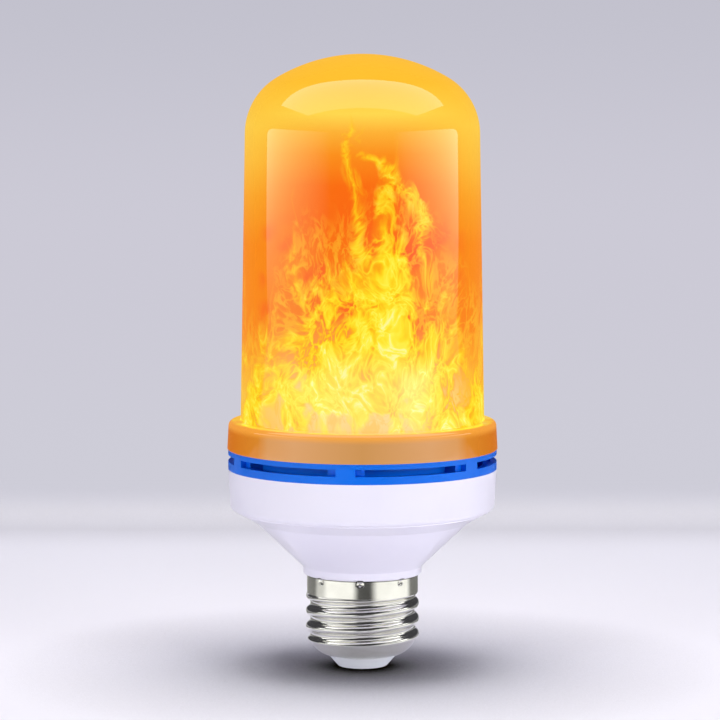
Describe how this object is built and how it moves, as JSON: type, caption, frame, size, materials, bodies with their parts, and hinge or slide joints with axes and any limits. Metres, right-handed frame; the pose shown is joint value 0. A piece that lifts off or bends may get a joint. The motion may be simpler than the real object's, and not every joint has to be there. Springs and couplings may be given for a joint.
{
  "type": "flame effect led bulb",
  "caption": "Tubular LED bulb with a domed frosted diffuser glowing in a flame pattern, a slotted vent ring, a conical housing and a screw cap.",
  "frame": {"origin": "centre of the centre contact's flat end, on the bulb's axis", "axes": "+Z along the bulb's axis from the contact towards the dome, +X to the right and -Y towards the viewer as the picture shows it"},
  "size_m": [0.0626, 0.0626, 0.1422],
  "materials": {
    "diffuser": "frosted translucent moulding lit from inside by a flame pattern",
    "vent_ring": "moulded, satin gloss",
    "housing": "moulded, smooth satin gloss",
    "screw_shell": "nickel plated formed sheet, bright",
    "cap_insulator": "moulded, smooth",
    "centre_contact": "tinned",
    "carrier": "moulded",
    "flex_circuit": "white solder mask",
    "led_package": "moulded package with yellow phosphor window",
    "circuit_board": "green solder mask",
    "chip": "moulded epoxy",
    "capacitor_can": "shrunk sleeve",
    "inductor": "varnished winding",
    "fuse_resistor": "dipped coating",
    "red_lead": "soft insulation",
    "blue_lead": "soft insulation",
    "black_lead": "soft insulation",
    "screw_steel": "zinc plated"
  },
  "bodies": {
    "root": {"diffuser": "diffuser", "vent_ring": "vent_ring", "housing": "housing", "screw_shell": "screw_shell", "cap_insulator": "cap_insulator", "centre_contact": "centre_contact", "led_carrier": "carrier", "carrier_cap": "carrier", "led_board": "flex_circuit", "led_row_01": "led_package", "led_row_02": "led_package", "led_row_03": "led_package", "led_row_04": "led_package", "led_row_05": "led_package", "led_row_06": "led_package", "led_row_07": "led_package", "led_row_08": "led_package", "led_row_09": "led_package", "led_row_10": "led_package", "led_row_11": "led_package", "control_board": "circuit_board", "flame_controller": "chip", "row_transistors": "chip", "driver_board": "circuit_board", "bridge_rectifier": "chip", "driver_chip": "chip", "input_capacitor": "capacitor_can", "output_capacitor": "capacitor_can", "power_inductor": "inductor", "fuse_resistor": "fuse_resistor", "live_lead": "red_lead", "neutral_lead": "blue_lead", "lead_positive": "red_lead", "lead_negative": "black_lead", "carrier_screws": "screw_steel"}
  },
  "joints": []
}
